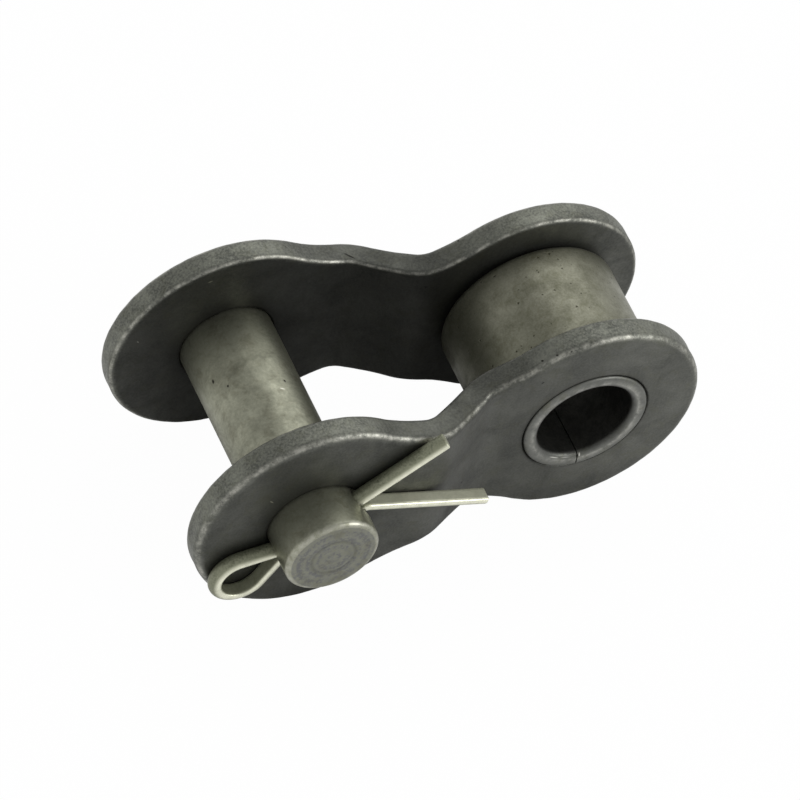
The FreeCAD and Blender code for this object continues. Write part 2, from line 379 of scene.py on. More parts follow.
@dataclass(frozen=True)
class Blemish:
    """A single nick, scratch or painted glint: a slender ellipsoid that marks the metal it meets.
    """

    start: Point
    stop: Point
    width: float
    heart: float = 0.35

    def mask(self, nodes: Nodes) -> Socket:
        """Works out how much of the blemish each place gets.

        Args:
            nodes: The finish's nodes.

        Returns:
            1 in the blemish's heart, falling to 0 at its border.
        """
        start, stop = Vector(self.start), Vector(self.stop)
        run, reach = stop - start, self.width / 2
        local = nodes.add("Mapping", {
            "Vector": nodes.place, "Location": (start + stop) / 2 * MM,
            "Rotation": run.to_track_quat("X", "Z").to_euler(),
            "Scale": Vector((run.length / 2 + reach, reach, reach)) * MM}, vector_type="TEXTURE")
        distance = nodes.add("VectorMath", {0: local.outputs[0]}, operation="LENGTH")
        return nodes.level(distance.outputs["Value"], self.heart, 1.0, 1.0, 0.0, smooth=True)


@dataclass(frozen=True)
class SteelFinish:
    """Hardened carbon steel as it leaves the tumbling drum, slightly uneven.

    A thin heat scale keeps it dark and satin, and where pieces rub, bare steel shows; that mark
    also carries painted highlights, and a near-black mark carries dirt and painted shade. The
    roughness is that of the lightest and darkest scale, and bare is how metallic it looks.
    """

    name: str
    dark: str
    light: str
    worn: str
    cloud_size: float
    grain_size: float
    grain_depth: float
    pit_spacing: float
    pit_radius: float
    roughness: Pair = (0.36, 0.5)
    pit_share: float = 0.1
    wear_and_sheen_amount: float = 0.6
    worn_roughness: float = 0.3
    bare: float = 0.9
    worn_bare: float = 1.0
    pit: str = "#262622"
    sheared_and_shade: str = "#83857a"
    stain: str = "#55553f"
    grime: str = "#161614"
    stain_share: float = 0.35
    patch_floor: float = 0.0
    patch_size: float = 0.5
    oil_size: float = 0.7
    pit_heart: float = 0.45
    pit_depth: float = 3.0
    rim_relief: float = 2.2
    nicks: tuple[Blemish, ...] = ()
    scratches_and_glints: tuple[Blemish, ...] = ()

    def tone(self, nodes: Nodes, grain: Socket) -> Socket:
        """Clouds of scale with the drum's fine grain over them, from darkest to lightest."""
        clouds = nodes.noise(self.cloud_size, 5.0, 0.6, 0.4)
        return nodes.level(nodes.mix(0.35, clouds, grain), 0.34, 0.66)

    def wear(self, nodes: Nodes) -> Socket:
        """Breaks the bare steel and the painted highlights along the rubbed edges into patches.

        Args:
            nodes: The finish's nodes.

        Returns:
            How much bare steel and painted highlight each place gets.
        """
        patches = nodes.level(nodes.noise(self.patch_size, 6.0, 0.75), 0.4, 0.62,
                              self.wear_and_sheen_amount * self.patch_floor, self.wear_and_sheen_amount)
        return nodes.combine("MULTIPLY", nodes.mark(Mark.WEAR), patches)

    def pits(self, nodes: Nodes) -> Socket:
        """Scattered pits: the hearts of some cells of a Voronoi pattern, of mixed size.

        Args:
            nodes: The finish's nodes.

        Returns:
            1 in the middle of a pit, 0 outside.
        """
        cells = nodes.add("TexVoronoi", {
            "Vector": nodes.place, "Scale": 1 / (self.pit_spacing * MM)}).outputs
        draw = nodes.add("SeparateColor", {"Color": cells["Color"]}).outputs["Red"]
        size = nodes.level(draw, 1 - self.pit_share, 1.0, 1e-4, self.pit_radius / self.pit_spacing)
        ragged = nodes.level(nodes.noise(self.pit_radius, 2.0), 0.3, 0.7, 0.6, 1.6)
        distance = nodes.combine("MULTIPLY", cells["Distance"], ragged)
        heart = nodes.combine("MULTIPLY", size, self.pit_heart)
        return nodes.level(distance, heart, size, 1.0, 0.0, smooth=True)

    def material(self) -> bpy.types.Material:
        """Builds the finish as a material, once.

        Returns:
            The material.
        """
        made = bpy.data.materials.get(self.name)
        if made:
            return made
        made = bpy.data.materials.new(self.name)
        nodes = Nodes(made)
        grain = nodes.noise(self.grain_size, 3.0, 0.6)
        tone, rim = self.tone(nodes, grain), nodes.mark(Mark.RIM)
        pitted, rubbed_and_sheen = self.pits(nodes), self.wear(nodes)
        for nick in self.nicks:
            pitted = nodes.combine("MAXIMUM", pitted, nick.mask(nodes))
        for bright_streak in self.scratches_and_glints:
            rubbed_and_sheen = nodes.combine("MAXIMUM", rubbed_and_sheen, bright_streak.mask(nodes))
        torn = nodes.level(nodes.mix(0.6, tone, grain), 0.3, 0.75, 0.1, 0.88)
        oily = nodes.level(nodes.noise(self.oil_size, 6.0, 0.75, 0.6), 0.5, 0.64, 0.0,
                           self.stain_share)
        colour = linear(self.dark)
        # Colour layers: the rubbed share is worn steel and painted highlights, and the last,
        # near-black layer is dirt and painted shade.
        for share, top in (
                (tone, self.light), (nodes.combine("MULTIPLY", rim, torn), self.sheared_and_shade),
                (oily, self.stain), (rubbed_and_sheen, self.worn), (pitted, self.pit),
                (nodes.mark(Mark.GRIME), self.grime)):
            colour = nodes.add("Mix", {0: share, 6: colour, 7: linear(top)},
                               data_type="RGBA").outputs[2]
        lightest, darkest = self.roughness
        rough = nodes.mix(rubbed_and_sheen, nodes.mix(tone, darkest, lightest), self.worn_roughness)
        lumps = nodes.combine("MULTIPLY", grain, nodes.mix(rim, 1.0, self.rim_relief))
        height = nodes.combine("MULTIPLY_ADD", pitted, -self.pit_depth, lumps)
        bump = nodes.add("Bump", {"Height": height, "Distance": self.grain_depth * MM})
        shader = nodes.add("BsdfPrincipled", {
            "Base Color": colour, "Metallic": nodes.mix(rubbed_and_sheen, self.bare, self.worn_bare),
            "Roughness": rough, "Normal": bump.outputs["Normal"]})
        nodes.add("OutputMaterial", {"Surface": shader.outputs["BSDF"]})
        return made


# Sheet steel, punched and heat treated: a dark satin scale, with rubbed and nicked edges whose
# bright wear is partly a painted highlight
PLATE_STEEL = SteelFinish(
    name="heat_treated_plate_steel", dark="#4b4c48", light="#686963", worn="#bdbcb2",
    roughness=(0.42, 0.54), cloud_size=1.7, grain_size=0.1, grain_depth=0.0045,
    pit_spacing=0.8, pit_radius=0.09, wear_and_sheen_amount=0.85, stain_share=0.22,
    nicks=(Blemish((-7.82, 4.74, 3.52), (-7.38, 4.30, 3.44), 0.13),
           Blemish((-3.25, -3.62, 3.95), (-3.05, -3.62, 4.10), 0.08),
           Blemish((-2.58, -3.50, 4.44), (-2.54, -3.52, 4.46), 0.12),
           Blemish((-2.02, -3.60, 4.72), (-1.96, -3.62, 4.74), 0.14),
           Blemish((-1.44, -3.70, 4.86), (-1.38, -3.71, 4.88), 0.12),
           Blemish((-2.50, -3.80, 3.34), (-2.46, -3.80, 3.36), 0.13)),
    scratches_and_glints=(Blemish((-14.05, 4.24, 4.23), (-13.85, 4.24, 4.27), 0.08),
               Blemish((-16.81, 4.24, 1.40), (-16.75, 4.24, 1.32), 0.09),
               Blemish((-14.92, -5.39, 2.03), (-14.78, -5.39, 1.88), 0.09)))
# Strip steel, rolled into a tube: cleaner than the plates, rubbed bright at its mouth
BUSH_STEEL = SteelFinish(
    name="rolled_bush_steel", dark="#62635f", light="#777873", worn="#d4d3ca",
    roughness=(0.36, 0.46), cloud_size=0.9, grain_size=0.14, grain_depth=0.003,
    pit_spacing=1.1, pit_radius=0.06,
    nicks=(Blemish((0.0, -3.86, -2.18), (0.0, -3.80, -2.36), 0.15),),
    scratches_and_glints=(Blemish((0.10, -3.86, -2.26), (0.12, -3.78, -2.16), 0.10),
               # rubbed lip and painted highlight: these two streaks brighten the lower lip of the
               # mouth
               Blemish((-1.35, -3.86, -1.82), (-0.80, -3.87, -2.10), 0.08),
               Blemish((-0.85, -3.87, -2.08), (-0.18, -3.87, -2.22), 0.09)))
# Cold-formed steel from the drum: a warm grey, finely pitted all over
ROLLER_STEEL = SteelFinish(
    name="tumbled_roller_steel", dark="#686859", light="#868677", worn="#b8b7a9",
    cloud_size=0.8, grain_size=0.09, grain_depth=0.005,
    pit_spacing=0.26, pit_share=0.55, pit_radius=0.075, wear_and_sheen_amount=0.5, pit="#4b4a3c",
    # painted highlight: these two streaks are the glint along the roller's rear rim edge
    scratches_and_glints=(Blemish((-3.00, 2.21, 2.26), (-2.70, 2.21, 2.61), 0.09),
               Blemish((-2.70, 2.21, 2.61), (-2.38, 2.20, 2.92), 0.08)))
# Turned bar, hardened and tumbled: as the roller, with fewer and larger pits
PIN_STEEL = SteelFinish(
    name="turned_pin_steel", dark="#7c7d6e", light="#a1a290", worn="#c4c3b7",
    cloud_size=1.0, grain_size=0.13, grain_depth=0.004,
    pit_spacing=0.7, pit_share=0.12, pit_radius=0.08, pit="#2f2e28", sheared_and_shade="#6c6d6b",
    stain="#5e5a46",
    nicks=(Blemish((-14.45, 1.75, 1.05), (-14.45, 1.65, 1.03), 0.16),
           Blemish((-14.12, 1.03, 1.45), (-14.12, 0.99, 1.45), 0.12),
           Blemish((-11.97, 0.32, 1.90), (-11.97, 0.26, 1.90), 0.12)),
    scratches_and_glints=(Blemish((-12.35, -0.08, 1.99), (-12.15, -0.16, 1.96), 0.09),))
# Half-round wire, drawn and zinc plated: pale with an olive cast; its bright corners and flats are
# rubbed zinc and a painted highlight, its dark crown painted shade
WIRE_ZINC = SteelFinish(
    name="zinc_plated_wire", dark="#868872", light="#a9ab95", worn="#f6f6e0",
    roughness=(0.38, 0.5), cloud_size=0.6, grain_size=0.09, grain_depth=0.002,
    pit_spacing=0.6, pit_radius=0.05, wear_and_sheen_amount=0.95, worn_roughness=0.22,
    bare=0.5, worn_bare=0.85, pit="#55543f", sheared_and_shade="#4f533e", stain_share=0.2,
    patch_floor=0.7, nicks=(Blemish((-16.32, -6.00, -3.06), (-16.28, -5.80, -2.98), 0.08),))


@dataclass(frozen=True)
class Piece:
    """A rigid piece of the link, with its finish and the node of the model it stands for."""

    sizes: LinkSizes
    finish: SteelFinish
    node: str
    slot: str
    body: str = "link"

    def build(self) -> Object:
        """Makes the piece's mesh, as an object without a finish."""
        raise NotImplementedError

    def dress(self, made: Object) -> Object:
        """Gives the piece its finish and its body, and hides the imported part it stands for.

        Args:
            made: The bare object.

        Returns:
            The same object.
        """
        made.data.materials.clear()
        made.data.materials.append(self.finish.material())
        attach(made, self.body)
        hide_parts(self.node)
        return made


@dataclass(frozen=True)
class SidePlate(Piece):
    """One cranked plate, punched from sheet, bent into an S and tumbled.

    The outer face looks away from the middle of the link. edge_rounds and the painted shade of
    the skin are pairs for the inner and the outer face.
    """

    side: Side = Side.FRONT
    edge_rounds: Pair = (0.22, 0.34)
    hole_chamfer: float = 0.08
    waist_reach: Pair = (2.3, 5.2)
    step: float = 0.085
    face_rows: int = 42
    round_steps: int = 5
    wall_steps: int = 7
    nick_seed: int = 11
    dent_seed: int = 31
    wear_and_sheen_sharpness: int = 6
    nick_depth: float = 0.012
    dent_depth: float = 0.016
    # painted shade on the faces: a darker skin off the bush lobe and dark halos round the holes
    skin_shade: Pair = (0.32, 0.19)
    waist_darkening: float = 0.38
    hole_dirt_and_shade: float = 0.6
    waist_darkening_x: float = -5.8
    waist_darkening_width: float = 2.7
    skin_reach: Pair = (-0.8, -3.4)
    halo_widths: Pair = (0.025, 0.22)
    halo_shade: float = 0.3
    bush_halo_shade: float = 0.12
    waist_shear: float = 0.3
    nick_size: float = 0.9
    dent_size: float = 1.6

    def half_outline(self) -> tuple[Array, Array]:
        """Outline of the bush half, from the lower waist round the lobe to the upper waist.

        The lobe is a circle about the bush, and each waist a circle that touches both lobes.

        Returns:
            Points (x, z) and outward normals, as two arrays of rows.
        """
        s = self.sizes
        half = s.pitch / 2
        waist_radius = (half ** 2 + s.waist_half_height ** 2 - s.lobe_radius ** 2) / (
            2 * (s.lobe_radius - s.waist_half_height))
        centre_z = s.waist_half_height + waist_radius
        touch = math.atan2(centre_z, -half)
        waist_turn = touch - QUARTER
        lobe = np.linspace(-touch, touch, round(2 * s.lobe_radius * touch / self.step) + 1)
        waist = np.linspace(0, waist_turn, round(waist_radius * waist_turn / self.step) + 1)[:-1]
        lobe_normals, low_normals = circle(lobe), circle(-QUARTER - waist)
        low_points = np.array([s.middle_x, -centre_z]) - waist_radius * low_normals
        flip = np.array([1, -1])
        points = [low_points, s.lobe_radius * lobe_normals, (low_points * flip)[::-1]]
        normals = [low_normals, lobe_normals, (low_normals * flip)[::-1]]
        return np.concatenate(points), np.concatenate(normals)

    def face_y(self, x: Array, outer: bool) -> Array:
        """Height of a face of the sheet above the middle plane: two arcs joined by a slope.

        Args:
            x: Places along the link.
            outer: Whether it is the outer face.

        Returns:
            The height at each place.
        """
        s, angle = self.sizes, self.sizes.crank_angle
        sin, cos, tan = math.sin(angle), math.cos(angle), math.tan(angle)
        radii = (s.crank_inner_radius, s.crank_inner_radius + s.plate_thickness)
        near, far = radii[::-1] if outer else radii
        drop = s.wide_inner - s.narrow_inner
        run = (drop - sum(radii) * (1 - cos)) / tan + sum(radii) * sin
        start = s.middle_x + s.crank_shift - run / 2
        into_near = np.clip(x - start, 0, near * sin)
        into_far = np.clip(start + run - x, 0, far * sin)
        slope = tan * np.clip(x - start - near * sin, 0, run - sum(radii) * sin)
        wide = s.wide_outer if outer else s.wide_inner
        return (wide - near + np.sqrt(near ** 2 - into_near ** 2) - slope
                + far * cos - np.sqrt(far ** 2 - into_far ** 2))

    def place(self, flat: Array, depth: Array | float, outer: bool) -> Array:
        """Puts flat points (x, z) at a depth under a face of the bent sheet, as (x, y, z)."""
        y = self.face_y(flat[..., 0], outer) + (-depth if outer else depth)
        return np.stack([flat[..., 0], self.side.value * y, flat[..., 1]], axis=-1)

    def half_face(self, hole_radius: float, at_pin: bool, outer: bool) -> Array:
        """Flat grid of half a face: rays from the hole to the outline and the middle line.

        Row t of ray j lies at (1 - t) * hole point + t * border point.

        Args:
            hole_radius: Radius at which the face starts.
            at_pin: Whether it is the half round the pin, a mirror image.
            outer: Whether it is the outer face.

        Returns:
            Points (x, z), rows by closed columns.
        """
        s = self.sizes
        points, normals = self.half_outline()
        border = points - normals * self.edge_rounds[outer]
        steps = round(2 * s.waist_half_height / self.step)
        line_z = np.linspace(border[-1, 1], border[0, 1], steps + 1)[1:-1]
        line = np.c_[np.full_like(line_z, s.middle_x), line_z]
        border = np.concatenate([border, line])
        hole = hole_radius * border / np.linalg.norm(border, axis=1, keepdims=True)
        grid = np.linspace(hole, border, self.face_rows + 1)
        return grid * [-1, 1] - [s.pitch, 0] if at_pin else grid

    def rim(self) -> tuple[Array, Array, Array]:
        """Strip round the cut edge: inner round, wall, outer round, carried along the outline.

        Nicks make the rounds' radius waver, and shallow dents hollow the wall between them.

        Returns:
            Points, the wear-and-highlight and rim marks, rows across the sheet by closed columns
            along it.
        """
        points, normals = self.half_outline()
        flip = np.array([-1, 1])
        points = np.concatenate([points, (points * flip - [self.sizes.pitch, 0])[::-1][1:-1]])
        normals = np.concatenate([normals, (normals * flip)[::-1][1:-1]])
        steps = np.linalg.norm(np.diff(points, axis=0, append=points[:1]), axis=1)
        turn = 2 * math.pi * (np.cumsum(steps) - steps) / steps.sum()
        ring = circle(turn) * steps.sum() / (2 * math.pi)
        rounds = []
        for outer in (False, True):
            radius = self.edge_rounds[outer]
            waver = 1 + self.nick_depth / radius * ripple(
                ring, self.nick_seed + self.side.value + outer, self.nick_size, 4)
            rounds.append(np.stack([
                self.place(points - normals * np.where(depth, inset * waver, radius)[:, None],
                           depth * waver, outer)
                for inset, depth in zip(*quarter_round(radius, self.round_steps))]))
        inner, outer = rounds
        share = np.linspace(0, 1, self.wall_steps + 1)[1:-1, None]
        around = np.dstack(np.broadcast_arrays(*ring.T, share * self.sizes.plate_thickness))
        dents = 1 + ripple(around, self.dent_seed + self.side.value, self.dent_size)
        dents = self.dent_depth * np.maximum(dents, 0) / 2 * np.sin(math.pi * share)
        wall = np.linspace(inner[-1], outer[-1], self.wall_steps + 1)[1:-1]
        wall -= np.insert(normals, 1, 0.0, axis=1) * dents[..., None]
        strip = np.concatenate([inner, wall, outer[::-1]])
        rise = np.linspace(0, 1, self.round_steps + 1)
        # rubbed steel and a painted highlight, strongest in the middle of each edge round
        worn = np.sin(math.pi * rise) ** self.wear_and_sheen_sharpness
        flat = np.ones(len(share))
        start, stop = self.waist_reach
        lobe = np.clip((np.abs(points[:, 0] - self.sizes.middle_x) - start) / (stop - start), 0, 1)
        wear = np.concatenate([worn, flat * 0, worn[::-1]])[:, None] * np.ones_like(lobe)
        rim = np.concatenate([rise, flat, rise[::-1]])[:, None] * (
            self.waist_shear + (1 - self.waist_shear) * lobe)
        return strip, wear, rim

    def face_shade(self, grid: Array, at_pin: bool, outer: bool) -> Array:
        """Painted shade on half a face: a dark halo round the hole, and a darker skin off the bush
        lobe.

        Args:
            grid: The face's points (x, z), rows from the hole to the outline.
            at_pin: Whether it is the half round the pin.
            outer: Whether it is the outer face.

        Returns:
            The painted shade at each point, for the grime-and-shade mark.
        """
        share = np.linspace(0, 1, len(grid))[:, None]
        near, wide = self.halo_widths
        halo = self.halo_shade * bell(share, 0, near)
        halo += (self.halo_shade if at_pin else self.bush_halo_shade) * bell(share, 0, wide)
        clean_x, soiled_x = self.skin_reach
        skin = np.clip((clean_x - grid[..., 0]) / (clean_x - soiled_x), 0, 1)
        return halo + self.skin_shade[outer] * skin

    def build(self) -> Object:
        """Joins faces, rim and holes into one closed plate.

        A hole is chamfer, wall and chamfer, on the rays of the faces that meet it.

        Returns:
            The bare plate.
        """
        s, chamfer = self.sizes, self.hole_chamfer
        surface = Surface(self.node + "_steel")
        for at_pin, radius in ((False, s.bush_radius), (True, s.pin_radius)):
            centre = np.array([-s.pitch if at_pin else 0.0, 0.0])
            hole = []
            for outer, order in ((True, 1), (False, -1)):
                grid = self.half_face(radius + chamfer, at_pin, outer)
                surface.add_grid(self.place(grid, 0.0, outer),
                                 grime=self.face_shade(grid, at_pin, outer))
                tight = centre + (grid[0] - centre) * radius / (radius + chamfer)
                hole += [self.place(grid[0], 0.0, outer),
                         self.place(tight, chamfer, outer)][::order]
            # dirt and painted shade in the chamfers and wall of the hole
            surface.add_grid(np.stack(hole), grime=self.hole_dirt_and_shade)
        strip, wear, rim = self.rim()
        # the rim strip is darkened round the waist
        grime = self.waist_darkening * bell(strip[..., 0], self.waist_darkening_x, self.waist_darkening_width)
        surface.add_grid(strip, wear=wear, rim=rim, grime=grime)
        return surface.build()


@dataclass(frozen=True)
class Bush(Piece):
    """Strip rolled into a tube, hardened, with its butt seam towards -Z."""

    outer_round: float = 0.13
    mouth_round: float = 0.28
    seam_half_width: float = 0.03
    mouth_wear: float = 0.7
    rub_width: float = 0.06
    bore_shade: float = 0.85
    bore_shade_start: float = 0.8
    round_steps: int = 6
    columns: int = 360

    def build(self) -> Object:
        """Turns the wall's section from one side of the seam round to the other.

        Returns:
            The bare bush.
        """
        s = self.sizes
        bore, outside, end = s.bush_bore_radius, s.bush_radius, s.bush_half_length
        section = tube_section(bore, outside, end, (self.mouth_round, self.outer_round),
                               self.round_steps)
        seam = self.seam_half_width / outside
        turns = np.linspace(seam, 2 * math.pi - seam, self.columns + 1) - QUARTER
        from_mouth = np.hypot(section[:, 0] - bore, np.abs(section[:, 1]) - end)[:, None]
        # painted shade: the bore darkens from its mouth round inward
        inside = np.clip((bore - section[:, :1]) / self.mouth_round + self.bore_shade_start, 0, 1)
        surface = Surface("bush_steel")
        index = surface.add_grid(
            turned(section, turns), closed_rows=True, closed_columns=False,
            wear=self.mouth_wear * bell(from_mouth, self.mouth_round, self.rub_width),
            grime=self.bore_shade * inside)
        surface.caps += [index[:, 0], index[::-1, -1]]
        return surface.build()


@dataclass(frozen=True)
class Roller(Piece):
    """Cold-formed sleeve, hardened and tumbled, that turns on the bush."""

    running_clearance: float = 0.05
    rim_round: float = 0.32
    bore_round: float = 0.1
    rub_width: float = 0.08
    round_steps: int = 8
    columns: int = 420

    def build(self) -> Object:
        """Turns the wall's section all the way round.

        Returns:
            The bare roller.
        """
        s = self.sizes
        outside, end = s.roller_radius, s.roller_half_length
        section = tube_section(s.bush_radius + self.running_clearance, outside, end,
                               (self.bore_round, self.rim_round), self.round_steps)
        turns = np.linspace(0, 2 * math.pi, self.columns + 1)[:-1]
        from_rim = np.hypot(section[:, 0] - outside, np.abs(section[:, 1]) - end)[:, None]
        surface = Surface("roller_steel")
        surface.add_grid(turned(section, turns), closed_rows=True,
                         wear=bell(from_rim, self.rim_round * RUB_DEPTH, self.rub_width))
        return surface.build()


@dataclass(frozen=True)
class LegForm:
    """A leg of the split pin: a bend that starts inside the pin's outline, then straight."""

    angle: float
    bend_radius: float
    bend_inside: float
    length: float


@dataclass(frozen=True)
class SplitPinForm:
    """Form of the split pin: its wire, and the line of the wire's flat side from tip to tip.

    Axis u runs along the legs and v from the lower leg to the upper one, from the pin's axis.
    """

    pin_x: float
    pin_radius: float
    plate_face: float
    wire_width: float = 0.62
    wire_depth: float = 0.48
    plate_clearance: float = 0.01
    hole_clearance: float = 0.09
    tilt: float = math.radians(32.6)
    half_gap: float = 0.1
    eye_radius: float = 0.87
    eye_reach: float = 1.74
    neck_radius: float = 0.6
    neck_inside: float = 0.18
    upper_leg: LegForm = LegForm(math.radians(3.0), 4.0, 0.1, 4.18)
    lower_leg: LegForm = LegForm(math.radians(48.4), 0.6, 0.15, 5.62)
    step: float = 0.06

    @property
    def crown_radius(self) -> float:
        """Radius of the wire's round side."""
        return (self.wire_depth ** 2 + self.wire_width ** 2 / 4) / (2 * self.wire_depth)

    @property
    def middle(self) -> Array:
        """Middle of the cross hole, where the wire's crown just clears the front plate."""
        return np.array([
            self.pin_x, -(self.plate_face + self.plate_clearance + self.crown_radius), 0.0])

    @property
    def hole_radius(self) -> float:
        """Radius of the cross hole round the two legs."""
        return self.half_gap + self.wire_depth + self.hole_clearance

    def line(self, start: Array, stop: Array) -> Array:
        """Points of a straight run from start to stop, the last one left out."""
        steps = max(2, round(float(np.linalg.norm(stop - start)) / self.step))
        return np.linspace(start, stop, steps + 1)[:-1]

    def arc(self, middle: Array, radius: float, start: float, stop: float) -> Array:
        """Points middle + radius * (cos t, sin t) from start to stop, the last one left out."""
        steps = max(6, round(radius * abs(stop - start) / self.step))
        return middle + radius * circle(np.linspace(start, stop, steps + 1)[:-1])

    def eye(self) -> Array:
        """Upper neck, round end of the eye and lower neck, each tangent to the next.

        Returns:
            Points (u, v) in order.
        """
        flip = np.array([1, -1])
        neck = np.array([self.neck_inside - self.pin_radius, self.half_gap + self.neck_radius])
        eye = np.array([-self.pin_radius - self.eye_reach, 0.0])
        gap = neck - eye
        opening = math.asin((self.neck_radius + self.eye_radius) / np.linalg.norm(gap))
        opening -= math.atan2(gap[1], gap[0])
        across = circle(QUARTER - opening)
        neck_end = neck - self.neck_radius * across
        eye_start = eye + self.eye_radius * across
        return np.concatenate([
            self.arc(neck, self.neck_radius, -QUARTER, -QUARTER - opening),
            self.line(neck_end, eye_start),
            self.arc(eye, self.eye_radius, QUARTER - opening, 3 * QUARTER + opening),
            self.line(eye_start * flip, neck_end * flip),
            self.arc(neck * flip, self.neck_radius, QUARTER + opening, QUARTER),
        ])

    def leg(self, form: LegForm, side: int) -> Array:
        """Bend and straight part of a leg.

        Args:
            form: The leg's form.
            side: 1 for the upper leg, -1 for the lower one.

        Returns:
            Points (u, v) from the start of the bend to the tip.
        """
        turn = side * (form.angle - QUARTER)
        middle = np.array([self.pin_radius - form.bend_inside,
                           side * (self.half_gap + form.bend_radius)])
        start = middle + form.bend_radius * circle(turn)
        tip = start + form.length * circle(side * form.angle)
        bend = self.arc(middle, form.bend_radius, -side * QUARTER, turn)
        return np.concatenate([bend, self.line(start, tip), tip[None]])

    def points(self) -> Array:
        """The whole path: upper leg, eye and lower leg.

        Returns:
            Points (u, v) in order.
        """
        root = np.array([self.neck_inside - self.pin_radius, self.half_gap])
        upper, lower = self.leg(self.upper_leg, 1), self.leg(self.lower_leg, -1)
        return np.concatenate([
            upper[:0:-1], self.line(upper[0], root), self.eye(),
            self.line(root * [1, -1], lower[0]), lower])

    def place(self, points: Array) -> Array:
        """Puts points (u, v, across the wire) round the pin's axis as (x, y, z)."""
        along, up = circle(self.tilt), circle(self.tilt + QUARTER)
        return points @ [[along[0], 0, along[1]], [up[0], 0, up[1]], [0, 1, 0]] + self.middle


@dataclass(frozen=True)
class SplitPin(Piece):
    """Half-round wire folded into an eye, its two flats together in the pin.

    It is rubbed bright and carries a painted highlight near the wire's corners and on the legs'
    flats, and the crown carries painted shade.
    """

    edge_round: float = 0.045
    end_round: float = 0.04
    flat_wear_and_sheen: float = 0.6
    rub_and_sheen_reach: float = 0.27
    rub_and_sheen_fade: float = 0.16
    crown_shade_fade: float = 0.12
    crown_steps: int = 24
    flat_steps: int = 6

    def section(self) -> Array:
        """Section of the wire: the crown's arc, and a flat whose ends are cut back a little.

        Returns:
            Points (across the flat, outward), in order round the wire.
        """
        form = self.sizes.split_pin
        half, radius = form.wire_width / 2, form.crown_radius
        reach = math.pi - math.asin(half / radius) - self.edge_round / radius
        turn = np.linspace(-reach, reach, self.crown_steps + 1)
        crown = radius * circle(QUARTER - turn) + [0, form.wire_depth - radius]
        across = np.linspace(half - self.edge_round, self.edge_round - half, self.flat_steps + 1)
        return np.concatenate([crown, np.c_[across, np.zeros_like(across)]])

    def build(self) -> Object:
        """Carries the section along the path and closes both cut ends.

        Point (w, n) of the section lies at path + w * Y + n * outward normal.

        Returns:
            The bare split pin.
        """
        form = self.sizes.split_pin
        spine = form.points()
        tangent = np.gradient(spine, axis=0)
        tangent /= np.linalg.norm(tangent, axis=1, keepdims=True)
        spine = np.concatenate([spine[:1], spine, spine[-1:]])
        spine[1] += tangent[0] * self.end_round
        spine[-2] -= tangent[-1] * self.end_round
        tangent = np.concatenate([tangent[:1], tangent, tangent[-1:]])
        outward = np.stack([tangent[:, 1], -tangent[:, 0]], axis=1)
        section = self.section()
        middle = np.array([0, form.wire_depth / 2])
        sections = np.repeat(section[None], len(spine), axis=0)
        sections[[0, -1]] = middle + (section - middle) * (1 - 2 * self.end_round / form.wire_width)
        flat = spine[:, None] + sections[..., 1:] * outward[:, None]
        points = form.place(np.concatenate([flat, sections[..., :1]], axis=-1))
        corner = np.hypot(np.abs(section[:, 0]) - form.wire_width / 2, section[:, 1])
        on_flat = section[:, 1] < form.wire_depth / 50
        on_leg = spine[:, :1] > form.pin_radius
        # corners rubbed bright with a painted highlight, the legs' flats too, and painted shade on
        # the crown
        rubbed_and_sheen = np.clip(0.5 + (self.rub_and_sheen_reach - corner) / self.rub_and_sheen_fade, 0, 1) * ~on_flat
        wear = np.maximum(rubbed_and_sheen, self.flat_wear_and_sheen * on_flat * on_leg)
        crown_shade = np.clip((corner - self.rub_and_sheen_reach) / self.crown_shade_fade, 0, 1) * ~on_flat
        surface = Surface("split_pin_wire")
        index = surface.add_grid(points, wear=wear, rim=crown_shade)
        surface.caps += [index[0, ::-1], index[-1]]
        return surface.build(sharp_angle=50.0)


